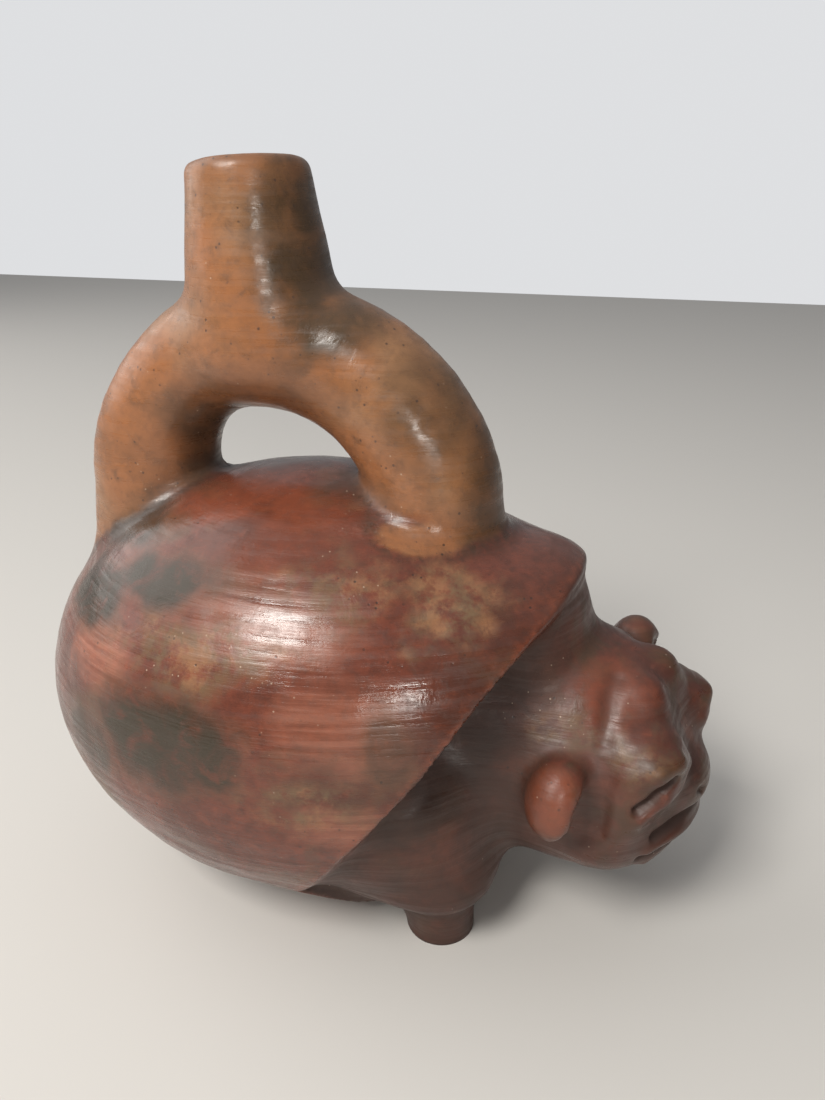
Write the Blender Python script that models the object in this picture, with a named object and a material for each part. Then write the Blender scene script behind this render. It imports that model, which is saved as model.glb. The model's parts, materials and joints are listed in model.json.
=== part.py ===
"""Stirrup spout vessel: an animal with a shell-like back, hand-built in clay, hollow and in one piece.

Units are metres and +Z is up. The animal faces +X and stands on the flat spot under its belly and on
its two forefeet. The origin is the middle of that flat spot, on the surface that the vessel stands on.

Each mass of clay is a field: its value at a point is about the distance to the skin, negative inside.
The masses are joined softly, as wetted clay is, and one skin is drawn over the whole.
"""

import itertools
import math

import bmesh
import bpy
import numpy as np

# The clay wall, from the outer skin to the chamber
WALL = 0.0052
WALL_FRONT = 0.0080

# The belly, a long ball that is pressed flat where it stands
BELLY_LENGTH = 0.1684
BELLY_WIDTH = 0.1348
BELLY_HEIGHT = 0.1276
FLAT_DEPTH = 0.0018

# The shell's rim: the belly flares into a hood and is cut off in front by a leaning bowl
HOOD_RISE = 0.0325
HOOD_REACH = 0.0300
RIM_FOOT_X = -0.0037
RIM_LEAN = 0.740
RIM_FADE = 2.0
RIM_FADE_Z = 0.0180
RIM_BOWL_DEPTH = 0.0100
RIM_BOWL_RADIUS = 0.0560
RIM_BOWL_Z = 0.0580
RIM_EDGE = 0.0012

# The stirrup, two splayed legs that meet under the spout
STIRRUP_TUBE = 0.0370
STIRRUP_CROWN = 0.0345
STIRRUP_TOP_X = -0.0130
STIRRUP_TOP_Z = 0.1600
STIRRUP_SHOULDER_Z = 0.1180
STIRRUP_REAR_X = -0.0522
STIRRUP_FRONT_X = 0.0348
STIRRUP_SPLAY = 0.0035
STIRRUP_FOOT_Z = 0.0900

# The spout, a short cone that leans back a little, with an uneven lip
SPOUT_BASE_X = -0.0123
SPOUT_BASE_Z = 0.1560
SPOUT_LIP_X = -0.0159
SPOUT_LIP_Z = 0.2052
SPOUT_BASE_WIDTH = 0.0450
SPOUT_LIP_WIDTH = 0.0312
LIP_WALL = 0.0052
LIP_ROUNDING = 0.0035
LIP_SLANT_X = 0.07
LIP_SLANT_Y = -0.06
BORE_OVERRUN = 0.010

# The chest and the neck, which leave the shell as one thick mass
CHEST = (0.0220, 0.0, 0.0385)
CHEST_SIZE = (0.0860, 0.1060, 0.0710)
NECK_ROOT = (0.0360, 0.0, 0.0550)
NECK_ROOT_RADIUS = 0.0400
NECK_END = (0.0740, 0.0, 0.0520)
NECK_END_RADIUS = 0.0345
NECK_SQUEEZE = 0.86
NAPE = (0.0660, 0.0, 0.0900)
NAPE_SIZE = (0.0260, 0.0440, 0.0340)

# The head, and what is modelled on it; places on the head are from its centre, before it is turned
HEAD = (0.0800, 0.0, 0.0510)
HEAD_SIZE = (0.0520, 0.0610, 0.0660)
HEAD_TURN_DEG = -9.0
BROW = (0.0185, 0.0155, 0.0090)
BROW_SIZE = (0.0260, 0.0250, 0.0260)
MUZZLE = (0.0190, 0.0, -0.0110)
MUZZLE_SIZE = (0.0310, 0.0440, 0.0290)
NOSE = (0.0310, 0.0, -0.0060)
NOSE_SIZE = (0.0120, 0.0170, 0.0120)
LIPS = ((0.0190, -0.0170), (0.0160, -0.0250))
LIP_SIZE = (0.0260, 0.0340, 0.0080)
EAR = (0.0035, 0.0335, 0.0045)
EAR_SIZE = (0.0170, 0.0200, 0.0225)
EAR_CUP = (0.0080, 0.0020, -0.0005)
EAR_CUP_SIZE = (0.0190, 0.0130, 0.0165)
LEFT_EAR_RISE = 0.0085
EYE_SLIT = ((0.0290, 0.0100, -0.0020), (0.0180, 0.0270, 0.0010))
EYE_SLIT_WIDTH = 0.0024

# The forelegs, which swell below the shell and end in a narrower stub
FOOT = (0.0463, 0.0288, 0.0)
FOOT_RADIUS = 0.0097
ANKLE_Z = 0.0150
KNEE = (0.0465, 0.0310, 0.0225)
KNEE_RADIUS = 0.0130
SHOULDER = (0.0330, 0.0300, 0.0430)
SHOULDER_RADIUS = 0.0200

# How far the joins are smoothed over
SOFT_JOIN = 0.0090
FIRM_JOIN = 0.0055
CREASE = 0.0020

# How finely the two skins are drawn, and how many faces they keep
SKIN_GRAIN = 0.0016
CHAMBER_GRAIN = 0.0030
SKIN_FACES = 7200
CHAMBER_FACES = 1600
MARGIN = 0.008


def clear_scene():
    for obj in list(bpy.data.objects):
        bpy.data.objects.remove(obj)


def lengths(offsets):
    return np.sqrt((offsets**2).sum(axis=1))


def ball(points, centre, size):
    """A ball of the given length, width and height."""
    half = np.array(size) / 2
    offsets = points - np.array(centre)
    share = lengths(offsets / half)
    return share * (share - 1.0) / np.maximum(lengths(offsets / half**2), 1e-9)


def limb(points, start, end, start_radius, end_radius, squeeze=1.0):
    """A rounded limb that tapers from one end to the other; a squeeze below 1 makes it narrower."""
    narrow = np.array((1.0, 1.0 / squeeze, 1.0))
    first = np.array(start)
    along = np.array(end) - first
    offsets = (points - first) * narrow
    share = np.clip(offsets @ along / (along @ along), 0.0, 1.0)
    radius = start_radius + (end_radius - start_radius) * share
    return (lengths(offsets - share[:, None] * along) - radius) * min(squeeze, 1.0)


def tube(points, line, radii):
    """A bent tube along a line, with a radius at each of its points."""
    nearest = np.full(len(points), np.inf)
    for step in range(len(line) - 1):
        piece = limb(points, line[step], line[step + 1], radii[step], radii[step + 1])
        nearest = np.minimum(nearest, piece)
    return nearest


def join(first, second, soft):
    """Two masses made one, with a fillet where they meet."""
    overlap = np.maximum(soft - np.abs(first - second), 0.0) / soft
    return np.minimum(first, second) - overlap**2 * soft / 4


def within(first, second, soft):
    """What lies within both, with a rounded edge."""
    return -join(-first, -second, soft)


def without(mass, cutter, soft):
    """The mass with the cutter taken away."""
    return within(mass, -cutter, soft)


def turned(points, centre, degrees):
    """The points turned about an upright line through the centre."""
    angle = math.radians(degrees)
    offsets = points - np.array(centre)
    x = offsets[:, 0] * math.cos(angle) - offsets[:, 1] * math.sin(angle)
    y = offsets[:, 0] * math.sin(angle) + offsets[:, 1] * math.cos(angle)
    return np.stack([x, y, offsets[:, 2]], axis=1)


def mirrored(place, side):
    return (place[0], place[1] * side, place[2])


def shrunk(size, inset):
    return tuple(side - 2 * inset for side in size)


def shell(points, inset):
    """The belly with its hood, cut off in front by the leaning bowl."""
    centre = (0.0, 0.0, BELLY_HEIGHT / 2 - FLAT_DEPTH)
    slope = math.hypot(1.0, RIM_LEAN)
    faded = RIM_FADE * np.maximum(RIM_FADE_Z - points[:, 2], 0.0)
    ahead = (points[:, 0] - RIM_FOOT_X - RIM_LEAN * points[:, 2] - faded) / slope
    near_rim = np.clip(1.0 + ahead / HOOD_REACH, 0.0, 1.5)
    spread = np.clip((points[:, 2] - centre[2]) / (BELLY_HEIGHT / 2), 0.0, 1.0)
    lowered = points.copy()
    lowered[:, 2] -= HOOD_RISE * near_rim**2 * spread**2
    belly = ball(lowered, centre, shrunk((BELLY_LENGTH, BELLY_WIDTH, BELLY_HEIGHT), inset))
    up_slope = (points[:, 2] - RIM_BOWL_Z) * slope
    round_share = (up_slope**2 + points[:, 1] ** 2) / RIM_BOWL_RADIUS**2
    bowl = RIM_BOWL_DEPTH * np.clip(1.0 - round_share, 0.0, 1.0)
    return within(belly, ahead + bowl + inset, RIM_EDGE)


def stirrup_line():
    """The stirrup's middle line: up the splayed rear leg, over the crown and down the front leg."""
    rear_foot = STIRRUP_REAR_X - STIRRUP_SPLAY
    front_foot = STIRRUP_FRONT_X + STIRRUP_SPLAY
    rise = STIRRUP_TOP_Z - STIRRUP_SHOULDER_Z
    line = [(rear_foot, 0.0, STIRRUP_FOOT_Z)]
    for degrees in range(180, -1, -15):
        angle = math.radians(degrees)
        leg = STIRRUP_REAR_X if degrees > 90 else STIRRUP_FRONT_X
        across = abs(leg - STIRRUP_TOP_X) * math.cos(angle)
        line.append((STIRRUP_TOP_X + across, 0.0, STIRRUP_SHOULDER_Z + rise * math.sin(angle)))
    line.append((front_foot, 0.0, STIRRUP_FOOT_Z))
    return line


def stirrup(points, inset):
    line = stirrup_line()
    crown_share = [max(place[2] - STIRRUP_SHOULDER_Z, 0.0) for place in line]
    highest = max(crown_share)
    radii = [
        (STIRRUP_TUBE + (STIRRUP_CROWN - STIRRUP_TUBE) * share / highest) / 2 - inset
        for share in crown_share
    ]
    return tube(points, line, radii)


def lip_height(points):
    """How high each point is above the lip, which slants."""
    slant = LIP_SLANT_X * (points[:, 0] - SPOUT_LIP_X) + LIP_SLANT_Y * points[:, 1]
    return points[:, 2] - SPOUT_LIP_Z - slant


def spout_cone(points, base_width, lip_width):
    """The distance to the spout's slanting side, taken as going on above the lip."""
    share = (points[:, 2] - SPOUT_BASE_Z) / (SPOUT_LIP_Z - SPOUT_BASE_Z)
    middle = SPOUT_BASE_X + (SPOUT_LIP_X - SPOUT_BASE_X) * share
    radius = (base_width + (lip_width - base_width) * share) / 2
    return np.hypot(points[:, 0] - middle, points[:, 1]) - radius


def spout(points):
    side = spout_cone(points, SPOUT_BASE_WIDTH, SPOUT_LIP_WIDTH)
    low = STIRRUP_TOP_Z - points[:, 2]
    return within(within(side, lip_height(points), LIP_ROUNDING), low, LIP_ROUNDING)


def bore(points):
    """The spout's bore, from the stirrup's channel out through the lip."""
    base_width = SPOUT_BASE_WIDTH - 2 * WALL - LIP_WALL
    side = spout_cone(points, base_width, SPOUT_LIP_WIDTH - 2 * LIP_WALL)
    low = STIRRUP_TOP_Z - points[:, 2]
    return np.maximum(np.maximum(side, lip_height(points) - BORE_OVERRUN), low)


def neck(points, inset):
    return limb(
        points,
        NECK_ROOT,
        NECK_END,
        NECK_ROOT_RADIUS - inset,
        NECK_END_RADIUS - inset,
        NECK_SQUEEZE,
    )


def ear(points, side):
    rise = LEFT_EAR_RISE if side > 0 else 0.0
    middle = np.array(mirrored(EAR, side)) + np.array((0.0, 0.0, rise))
    cup = middle + np.array(mirrored(EAR_CUP, side))
    return without(ball(points, middle, EAR_SIZE), ball(points, cup, EAR_CUP_SIZE), CREASE)


def eye_slit(points, side):
    start, end = [mirrored(place, side) for place in EYE_SLIT]
    return limb(points, start, end, EYE_SLIT_WIDTH / 2, EYE_SLIT_WIDTH / 2)


def head(points):
    """The head in its own frame: skull, brows, muzzle, nose, lips, ears, eye slits and mouth."""
    mass = ball(points, (0.0, 0.0, 0.0), HEAD_SIZE)
    mass = join(mass, ball(points, MUZZLE, MUZZLE_SIZE), SOFT_JOIN)
    for side in (-1, 1):
        mass = join(mass, ball(points, mirrored(BROW, side), BROW_SIZE), FIRM_JOIN)
    mass = join(mass, ball(points, NOSE, NOSE_SIZE), FIRM_JOIN)
    for reach, height in LIPS:
        mass = join(mass, ball(points, (reach, 0.0, height), LIP_SIZE), CREASE)
    for side in (-1, 1):
        mass = join(mass, ear(points, side), FIRM_JOIN)
        mass = without(mass, eye_slit(points, side), CREASE)
    return mass


def foreleg(points, side):
    knee = mirrored(KNEE, side)
    ankle = (FOOT[0], FOOT[1] * side, ANKLE_Z)
    sole = (FOOT[0], FOOT[1] * side, FOOT[2])
    thigh = limb(points, mirrored(SHOULDER, side), knee, SHOULDER_RADIUS, KNEE_RADIUS)
    return join(thigh, limb(points, ankle, sole, FOOT_RADIUS, FOOT_RADIUS), CREASE)


def outer_clay(points):
    front = join(ball(points, CHEST, CHEST_SIZE), neck(points, 0.0), SOFT_JOIN)
    front = join(front, ball(points, NAPE, NAPE_SIZE), SOFT_JOIN)
    for side in (-1, 1):
        front = join(front, foreleg(points, side), SOFT_JOIN)
    mass = join(shell(points, 0.0), front, SOFT_JOIN)
    mass = join(mass, head(turned(points, HEAD, -HEAD_TURN_DEG)), FIRM_JOIN)
    top = join(stirrup(points, 0.0), spout(points), FIRM_JOIN)
    return join(mass, top, FIRM_JOIN)


def chamber_space(points):
    """The hollow inside: belly, neck and head, the stirrup's channel and the spout's bore."""
    body = join(shell(points, WALL), neck(points, WALL_FRONT), FIRM_JOIN)
    body = join(body, ball(points, CHEST, shrunk(CHEST_SIZE, WALL_FRONT)), FIRM_JOIN)
    body = join(body, ball(points, HEAD, shrunk(HEAD_SIZE, WALL_FRONT)), FIRM_JOIN)
    channel = join(stirrup(points, WALL), bore(points), FIRM_JOIN)
    return join(body, channel, CREASE)


def field_on_grid(field, low, grain, counts):
    """The field's values at the corners of a grid, one slice of the grid at a time."""
    values = np.empty(counts)
    x, y = np.meshgrid(np.arange(counts[0]), np.arange(counts[1]), indexing="ij")
    for level in range(counts[2]):
        steps = np.stack([x.ravel(), y.ravel(), np.full(x.size, level)], axis=1)
        values[:, :, level] = field(low + steps * grain).reshape(counts[0], counts[1])
    return values


def cut_tetrahedra(values, corners, found):
    """The triangles of the skin inside tetrahedra with the given corners, as pairs of corner names."""
    inside = values[corners] < 0
    for first in range(4):
        others = [corner for corner in range(4) if corner != first]
        for lone in (True, False):
            alone = (inside[:, first] == lone) & (inside[:, others] != lone).all(axis=1)
            found.append([corners[alone][:, [first, other]] for other in others])
    for second in (1, 2, 3):
        third, fourth = [corner for corner in (1, 2, 3) if corner != second]
        paired = inside[:, 0] == inside[:, second]
        split = paired & (inside[:, third] == inside[:, fourth]) & (inside[:, 0] != inside[:, third])
        ring = [(0, third), (0, fourth), (second, fourth), (second, third)]
        pairs = [corners[split][:, list(pair)] for pair in ring]
        found.append([pairs[0], pairs[1], pairs[2]])
        found.append([pairs[0], pairs[2], pairs[3]])


def skin_triangles(values):
    """Every cell that the skin passes through is cut as six tetrahedra along its diagonal."""
    names = np.arange(values.size).reshape(values.shape)
    low_corner = names[:-1, :-1, :-1]
    strides = (values.shape[1] * values.shape[2], values.shape[2], 1)
    steps = [a * strides[0] + b * strides[1] + c for a in (0, 1) for b in (0, 1) for c in (0, 1)]
    flat = values.ravel()
    signs = np.stack([flat[low_corner.ravel() + step] < 0 for step in steps])
    mixed = low_corner.ravel()[signs.any(axis=0) & ~signs.all(axis=0)]
    found = []
    for order in itertools.permutations(strides):
        ways = np.cumsum((0,) + order)
        cut_tetrahedra(flat, mixed[:, None] + ways[None, :], found)
    pairs = np.concatenate([np.stack(triangle, axis=1) for triangle in found])
    pairs.sort(axis=2)
    keys, faces = np.unique(pairs.reshape(-1, 2), axis=0, return_inverse=True)
    return keys, faces.reshape(-1, 3)


def slope_of(field, places, step):
    parts = []
    for axis in range(3):
        nudge = np.zeros(3)
        nudge[axis] = step
        parts.append((field(places + nudge) - field(places - nudge)) / (2 * step))
    return np.stack(parts, axis=1)


def drawn_skin(field, low, high, grain, passes=3):
    """A closed mesh of the surface where the field is zero."""
    low = np.array(low) - MARGIN
    counts = tuple(int(math.ceil(span / grain)) + 1 for span in (np.array(high) + MARGIN - low))
    values = field_on_grid(field, low, grain, counts)
    keys, faces = skin_triangles(values)
    ends = [np.stack(np.unravel_index(keys[:, end], counts), axis=1) for end in (0, 1)]
    first, second = [values.ravel()[keys[:, end]] for end in (0, 1)]
    share = np.clip(first / (first - second), 0.1, 0.9)[:, None]
    places = low + (ends[0] * (1 - share) + ends[1] * share) * grain
    skin = bmesh.new()
    corners = [skin.verts.new(place) for place in places]
    for face in faces:
        skin.faces.new([corners[name] for name in face])
    bmesh.ops.recalc_face_normals(skin, faces=skin.faces[:])
    for _ in range(passes):
        bmesh.ops.smooth_vert(
            skin, verts=skin.verts[:], factor=0.5, use_axis_x=True, use_axis_y=True, use_axis_z=True
        )
        places = np.array([vertex.co[:] for vertex in skin.verts])
        slope = slope_of(field, places, grain / 8)
        steep = np.maximum((slope**2).sum(axis=1), 0.25)
        step = slope * (field(places) / steep)[:, None]
        places -= np.clip(step, -grain / 2, grain / 2)
        for vertex, place in zip(skin.verts, places):
            vertex.co = place
    mesh = bpy.data.meshes.new("skin")
    skin.to_mesh(mesh)
    skin.free()
    return mesh


def thinned(mesh, faces):
    """The mesh with about this many triangles, most of them where it bends most."""
    lump = bpy.data.objects.new("clay", mesh)
    bpy.context.scene.collection.objects.link(lump)
    mesh.calc_loop_triangles()
    thin = lump.modifiers.new("thin", "DECIMATE")
    thin.ratio = min(1.0, faces / len(mesh.loop_triangles))
    bpy.context.view_layer.update()
    graph = bpy.context.evaluated_depsgraph_get()
    coarse = bpy.data.meshes.new_from_object(lump.evaluated_get(graph))
    bpy.data.objects.remove(lump)
    return coarse


def cut_flat_below(mesh):
    """Cuts the belly and the soles off flat at the surface that they stand on."""
    clay = bmesh.new()
    clay.from_mesh(mesh)
    cut = bmesh.ops.bisect_plane(
        clay,
        geom=clay.verts[:] + clay.edges[:] + clay.faces[:],
        plane_co=(0, 0, 0),
        plane_no=(0, 0, 1),
        clear_inner=True,
    )
    edges = [item for item in cut["geom_cut"] if isinstance(item, bmesh.types.BMEdge)]
    bmesh.ops.edgeloop_fill(clay, edges=edges)
    bmesh.ops.recalc_face_normals(clay, faces=clay.faces[:])
    clay.to_mesh(mesh)
    clay.free()


def outer_skin():
    nose_tip = HEAD[0] + NOSE[0] + NOSE_SIZE[0]
    low = (-BELLY_LENGTH / 2, -BELLY_WIDTH / 2, -FOOT_RADIUS)
    high = (nose_tip, BELLY_WIDTH / 2, SPOUT_LIP_Z)
    skin = thinned(drawn_skin(outer_clay, low, high, SKIN_GRAIN), SKIN_FACES)
    cut_flat_below(skin)
    return skin


def chamber():
    low = (-BELLY_LENGTH / 2, -BELLY_WIDTH / 2, 0.0)
    high = (HEAD[0] + HEAD_SIZE[0] / 2, BELLY_WIDTH / 2, SPOUT_LIP_Z + BORE_OVERRUN)
    return thinned(drawn_skin(chamber_space, low, high, CHAMBER_GRAIN), CHAMBER_FACES)


def burnished_clay():
    material = bpy.data.materials.new("burnished_clay")
    material.use_nodes = True
    shader = material.node_tree.nodes["Principled BSDF"]
    shader.inputs["Base Color"].default_value = (0.23, 0.075, 0.045, 1.0)
    shader.inputs["Roughness"].default_value = 0.32
    shader.inputs["Metallic"].default_value = 0.0
    return material


def build_vessel():
    mesh = outer_skin()
    mesh.name = "vessel"
    vessel = bpy.data.objects.new("vessel", mesh)
    hollow = bpy.data.objects.new("chamber", chamber())
    for obj in (vessel, hollow):
        bpy.context.scene.collection.objects.link(obj)
    hollow.hide_render = True
    hollow.display_type = "WIRE"
    emptied = vessel.modifiers.new("chamber", "BOOLEAN")
    emptied.operation = "DIFFERENCE"
    emptied.object = hollow
    mesh.materials.clear()
    mesh.materials.append(burnished_clay())
    mesh.shade_smooth()
    mesh.set_sharp_from_angle(angle=math.radians(50.0))


clear_scene()
build_vessel()
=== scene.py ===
import json
import math

import bpy
import numpy as np
from mathutils import Euler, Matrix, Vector
from mathutils.noise import fractal

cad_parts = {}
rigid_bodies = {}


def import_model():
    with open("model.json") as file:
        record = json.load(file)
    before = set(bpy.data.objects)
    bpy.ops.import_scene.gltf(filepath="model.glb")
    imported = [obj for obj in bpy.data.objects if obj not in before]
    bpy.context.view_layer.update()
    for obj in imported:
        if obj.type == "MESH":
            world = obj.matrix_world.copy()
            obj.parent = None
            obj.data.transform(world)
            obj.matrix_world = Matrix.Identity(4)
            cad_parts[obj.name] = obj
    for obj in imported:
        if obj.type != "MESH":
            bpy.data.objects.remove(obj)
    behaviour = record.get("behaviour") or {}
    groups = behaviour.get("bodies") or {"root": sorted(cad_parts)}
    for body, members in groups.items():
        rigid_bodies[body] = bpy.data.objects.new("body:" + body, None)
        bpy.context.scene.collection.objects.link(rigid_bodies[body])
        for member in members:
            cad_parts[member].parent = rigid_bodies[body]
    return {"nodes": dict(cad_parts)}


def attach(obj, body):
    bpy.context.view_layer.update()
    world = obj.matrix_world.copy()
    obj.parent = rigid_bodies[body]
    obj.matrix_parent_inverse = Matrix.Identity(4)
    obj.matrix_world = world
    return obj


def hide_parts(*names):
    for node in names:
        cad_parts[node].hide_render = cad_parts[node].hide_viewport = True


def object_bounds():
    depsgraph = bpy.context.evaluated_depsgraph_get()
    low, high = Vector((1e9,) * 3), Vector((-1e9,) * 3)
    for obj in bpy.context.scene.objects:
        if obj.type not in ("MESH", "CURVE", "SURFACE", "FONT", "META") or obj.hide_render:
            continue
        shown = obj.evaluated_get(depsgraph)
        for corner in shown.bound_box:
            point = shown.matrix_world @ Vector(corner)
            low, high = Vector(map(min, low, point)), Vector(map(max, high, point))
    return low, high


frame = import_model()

cad_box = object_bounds()


# The clay body, as the potter has it before the finish: belly, stirrup, spout, neck, head and feet are
# one hollow piece of fired clay. It starts as a merged copy of the CAD solid. The chamber inside is taken
# off it along the sharp edge of the mouth, and the outside is closed and drawn anew in small even faces.

BODY_GRAIN = 0.0019
SAME_PLACE = 0.00001
MOUTH_SHARPNESS = math.radians(42)
MOUTH_AXIS_X = -0.0150
MOUTH_RADIUS = 0.0125
MOUTH_LOW = 0.185
MOUTH_BAND = 0.008


def leave_nothing_selected():
    if bpy.context.object and bpy.context.object.mode != "OBJECT":
        bpy.ops.object.mode_set(mode="OBJECT")
    bpy.ops.object.select_all(action="DESELECT")


def take_up(piece):
    leave_nothing_selected()
    piece.select_set(True)
    bpy.context.view_layer.objects.active = piece


def choose_faces(piece, wanted):
    """Selects the faces whose centre passes the test."""
    bpy.ops.object.mode_set(mode="EDIT")
    bpy.ops.mesh.select_mode(type="FACE")
    bpy.ops.mesh.select_all(action="DESELECT")
    bpy.ops.object.mode_set(mode="OBJECT")
    for face in piece.data.polygons:
        face.select = bool(wanted(face.center))
    bpy.ops.object.mode_set(mode="EDIT")


take_up(frame["nodes"]["vessel"])
bpy.ops.object.duplicate()
clay = bpy.context.object
clay.name = "fired_clay"
for slot in clay.material_slots:
    slot.material = None
for key in list(clay.keys()):
    del clay[key]
clay.parent = None
bpy.ops.object.mode_set(mode="EDIT")
bpy.ops.mesh.select_all(action="SELECT")
bpy.ops.mesh.remove_doubles(threshold=SAME_PLACE)
bpy.ops.mesh.select_mode(type="EDGE")
bpy.ops.mesh.select_all(action="DESELECT")
bpy.ops.mesh.edges_select_sharp(sharpness=MOUTH_SHARPNESS)
bpy.ops.object.mode_set(mode="OBJECT")
for edge in clay.data.edges:
    if clay.data.vertices[edge.vertices[0]].co.z < MOUTH_LOW:
        edge.select = False
bpy.ops.object.mode_set(mode="EDIT")
bpy.ops.mesh.mark_seam()


def inside_mouth(place):
    beside = math.hypot(place.x - MOUTH_AXIS_X, place.y)
    return MOUTH_LOW < place.z < MOUTH_LOW + MOUTH_BAND and beside < MOUTH_RADIUS


choose_faces(clay, inside_mouth)
bpy.ops.mesh.select_linked(delimit={"SEAM"})
bpy.ops.mesh.separate(type="SELECTED")
bpy.ops.object.mode_set(mode="OBJECT")
chamber = [piece for piece in bpy.context.selected_objects if piece is not clay][0]
chamber.name = "chamber"

take_up(clay)
bpy.ops.object.mode_set(mode="EDIT")
bpy.ops.mesh.select_mode(type="EDGE")
bpy.ops.mesh.select_all(action="DESELECT")
bpy.ops.mesh.select_non_manifold(extend=False)
bpy.ops.mesh.edge_face_add()
bpy.ops.mesh.select_all(action="SELECT")
bpy.ops.mesh.normals_make_consistent(inside=False)
bpy.ops.object.mode_set(mode="OBJECT")
redrawn = clay.modifiers.new("redrawn", "REMESH")
redrawn.mode = "VOXEL"
redrawn.voxel_size = BODY_GRAIN
bpy.ops.object.modifier_apply(modifier=redrawn.name)


# The masses that the potter joined: a long ball for the belly, a hood at its rim, two stirrup legs, a
# cone, a chest, a thick neck, a head and two forelegs. Each is known by how far a point lies outside it,
# and joins are softened as a wet finger softens them. The skin is then settled on the joined masses.

BELLY_SIZE = (0.1684, 0.1348, 0.1276)
FLAT_DEPTH = 0.0018
HOOD_RISE = 0.0312
HOOD_REACH = 0.0300
RIM_FOOT_X = -0.0042
RIM_LEAN = 0.752
RIM_FADE = 2.0
RIM_FADE_Z = 0.0180
RIM_BOWL_DEPTH = 0.0100
RIM_BOWL_RADIUS = 0.0560
RIM_BOWL_Z = 0.0580
RIM_EDGE = 0.0012

STIRRUP_TUBE = 0.0370
STIRRUP_CROWN = 0.0345
STIRRUP_TOP = (-0.0130, 0.1600)
STIRRUP_SHOULDER_Z = 0.1180
STIRRUP_LEGS_X = (-0.0522, 0.0348)
STIRRUP_SPLAY = 0.0035
STIRRUP_FOOT_Z = 0.0900
STIRRUP_SLACK = 0.0018

SPOUT_BASE = (-0.0123, 0.1560)
SPOUT_LIP = (-0.0159, 0.2052)
SPOUT_WIDTHS = (0.0450, 0.0312)
LIP_ROUNDING = 0.0035
SPOUT_JOIN = 0.0160
LIP_SLANT = (0.07, -0.06)

CHEST = (0.0220, 0.0, 0.0385)
CHEST_SIZE = (0.0860, 0.1060, 0.0710)
KEEL = (0.0200, 0.0, 0.0150)
KEEL_SIZE = (0.0800, 0.0740, 0.0298)
NECK = ((0.0360, 0.0, 0.0550), (0.0740, 0.0, 0.0520))
NECK_RADII = (0.0400, 0.0345)
NECK_SQUEEZE = 0.86
NAPE = (0.0660, 0.0, 0.0900)
NAPE_SIZE = (0.0260, 0.0440, 0.0340)

FOOT = (0.0463, 0.0288, 0.0)
FOOT_RADIUS = 0.0097
ANKLE_Z = 0.0150
KNEE = (0.0465, 0.0310, 0.0225)
KNEE_RADIUS = 0.0130
SHOULDER = (0.0330, 0.0300, 0.0430)
SHOULDER_RADIUS = 0.0200
CUFF = (0.0435, 0.0300, 0.0215)
CUFF_SIZE = (0.0350, 0.0310, 0.0150)

SOFT_JOIN = 0.0090
FIRM_JOIN = 0.0055
CREASE = 0.0020


def lengths(offsets):
    return np.sqrt((offsets**2).sum(axis=1))


def ball(points, centre, size):
    """How far each point lies outside a ball of the given length, width and height."""
    half = np.array(size) / 2
    offsets = points - np.array(centre)
    share = lengths(offsets / half)
    return share * (share - 1.0) / np.maximum(lengths(offsets / half**2), 1e-9)


def limb(points, start, end, start_radius, end_radius, squeeze=1.0):
    """The same for a tapering roll of clay with round ends."""
    narrow = np.array((1.0, 1.0 / squeeze, 1.0))
    first = np.array(start)
    along = np.array(end) - first
    offsets = (points - first) * narrow
    share = np.clip(offsets @ along / (along @ along), 0.0, 1.0)
    radius = start_radius + (end_radius - start_radius) * share
    return (lengths(offsets - share[:, None] * along) - radius) * min(squeeze, 1.0)


def rope(points, line, radii):
    nearest = np.full(len(points), np.inf)
    for step in range(len(line) - 1):
        piece = limb(points, line[step], line[step + 1], radii[step], radii[step + 1])
        nearest = np.minimum(nearest, piece)
    return nearest


def join(first, second, soft):
    """Two masses pushed together, with the crease between them filled over the given width."""
    overlap = np.maximum(soft - np.abs(first - second), 0.0) / soft
    return np.minimum(first, second) - overlap**2 * soft / 4


def within(first, second, soft):
    return -join(-first, -second, soft)


def without(mass, cutter, soft):
    return within(mass, -cutter, soft)


def mirrored(place, side):
    return (place[0], place[1] * side, place[2])


def ahead_of_rim(points):
    """How far each point lies in front of the leaning plane of the shell's rim."""
    faded = RIM_FADE * np.maximum(RIM_FADE_Z - points[:, 2], 0.0)
    slope = math.hypot(1.0, RIM_LEAN)
    return (points[:, 0] - RIM_FOOT_X - RIM_LEAN * points[:, 2] - faded) / slope


def shell(points):
    centre = (0.0, 0.0, BELLY_SIZE[2] / 2 - FLAT_DEPTH)
    ahead = ahead_of_rim(points)
    near_rim = np.clip(1.0 + ahead / HOOD_REACH, 0.0, 1.5)
    spread = np.clip((points[:, 2] - centre[2]) / (BELLY_SIZE[2] / 2), 0.0, 1.0)
    lowered = points.copy()
    lowered[:, 2] -= HOOD_RISE * near_rim**2 * spread**2
    belly = ball(lowered, centre, BELLY_SIZE)
    up_slope = (points[:, 2] - RIM_BOWL_Z) * math.hypot(1.0, RIM_LEAN)
    round_share = (up_slope**2 + points[:, 1] ** 2) / RIM_BOWL_RADIUS**2
    bowl = RIM_BOWL_DEPTH * np.clip(1.0 - round_share, 0.0, 1.0)
    return within(belly, ahead + bowl, RIM_EDGE)


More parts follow.
